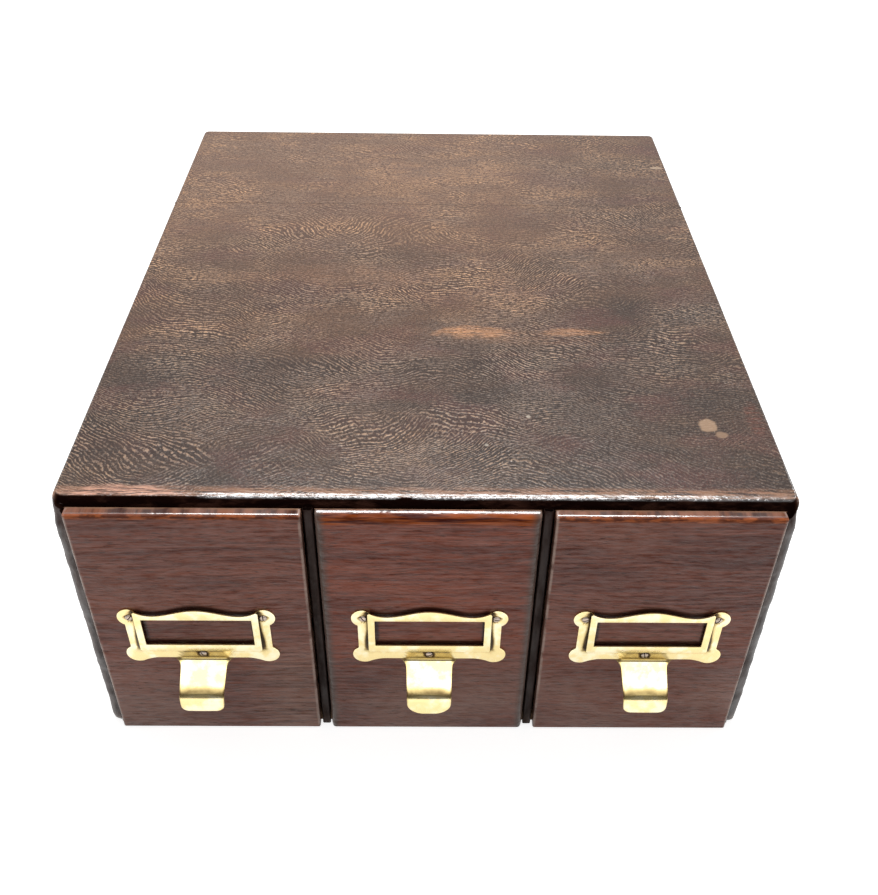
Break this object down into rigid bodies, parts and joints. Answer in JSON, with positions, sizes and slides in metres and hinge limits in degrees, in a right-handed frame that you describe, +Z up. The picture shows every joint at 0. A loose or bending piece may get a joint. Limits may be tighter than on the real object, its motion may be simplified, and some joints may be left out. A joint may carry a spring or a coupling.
{
  "type": "index card drawer cabinet",
  "caption": "Low wooden desktop cabinet with three side-by-side lipped drawers for index cards, brass label pulls and sliding card followers.",
  "frame": {"origin": "on the surface the cabinet stands on, under the middle of its closed outer box", "axes": "+X to the right seen from the front, +Y from the drawer fronts to the back, +Z up"},
  "size_m": [0.5, 0.6476, 0.234],
  "materials": {
    "top_varnish": "dark brown figured wood under old crazed shellac",
    "carcass_wood": "dark stained wood, dull varnish",
    "edge_wood": "nearly black, worn edge strip",
    "front_wood": "dark red-brown mahogany, satin varnish, fine pores across",
    "box_wood": "bare poplar, darkened with age",
    "panel_wood": "thin bare basswood panel",
    "follower_wood": "stained birch, satin",
    "brass": "polished, brown tarnish in the corners",
    "steel": "dull bright steel",
    "bracket_steel": "black japanned sheet steel"
  },
  "bodies": {
    "carcass": {"top_front_board": "top_varnish", "top_rear_board": "top_varnish", "left_side": "carcass_wood", "right_side": "carcass_wood", "left_divider": "carcass_wood", "right_divider": "carcass_wood", "left_facing_strip": "edge_wood", "right_facing_strip": "edge_wood", "bottom_board": "carcass_wood", "back_panel": "carcass_wood", "drawer_stop_blocks": "box_wood"},
    "left_drawer": {"left_drawer_front": "front_wood", "left_drawer_left_board": "box_wood", "left_drawer_right_board": "box_wood", "left_drawer_back_board": "box_wood", "left_drawer_bottom_panel": "panel_wood", "left_drawer_label_pull": "brass", "left_drawer_pull_screws": "steel"},
    "left_follower": {"left_drawer_follower_board": "follower_wood", "left_drawer_follower_bracket": "bracket_steel", "left_drawer_follower_bolt": "steel", "left_drawer_follower_thumb_nut": "brass"},
    "middle_drawer": {"middle_drawer_front": "front_wood", "middle_drawer_left_board": "box_wood", "middle_drawer_right_board": "box_wood", "middle_drawer_back_board": "box_wood", "middle_drawer_bottom_panel": "panel_wood", "middle_drawer_label_pull": "brass", "middle_drawer_pull_screws": "steel"},
    "middle_follower": {"middle_drawer_follower_board": "follower_wood", "middle_drawer_follower_bracket": "bracket_steel", "middle_drawer_follower_bolt": "steel", "middle_drawer_follower_thumb_nut": "brass"},
    "right_drawer": {"right_drawer_front": "front_wood", "right_drawer_left_board": "box_wood", "right_drawer_right_board": "box_wood", "right_drawer_back_board": "box_wood", "right_drawer_bottom_panel": "panel_wood", "right_drawer_label_pull": "brass", "right_drawer_pull_screws": "steel"},
    "right_follower": {"right_drawer_follower_board": "follower_wood", "right_drawer_follower_bracket": "bracket_steel", "right_drawer_follower_bolt": "steel", "right_drawer_follower_thumb_nut": "brass"}
  },
  "joints": [
    {"name": "left_drawer_slide", "type": "slide", "parent": "carcass", "child": "left_drawer", "axis": [0, -1, 0], "range_m": [0, 0.43]},
    {"name": "left_follower_slide", "type": "slide", "parent": "left_drawer", "child": "left_follower", "axis": [0, -1, 0], "range_m": [-0.008, 0.43]},
    {"name": "middle_drawer_slide", "type": "slide", "parent": "carcass", "child": "middle_drawer", "axis": [0, -1, 0], "range_m": [0, 0.43]},
    {"name": "middle_follower_slide", "type": "slide", "parent": "middle_drawer", "child": "middle_follower", "axis": [0, -1, 0], "range_m": [-0.008, 0.43]},
    {"name": "right_drawer_slide", "type": "slide", "parent": "carcass", "child": "right_drawer", "axis": [0, -1, 0], "range_m": [0, 0.43]},
    {"name": "right_follower_slide", "type": "slide", "parent": "right_drawer", "child": "right_follower", "axis": [0, -1, 0], "range_m": [-0.008, 0.43]}
  ]
}
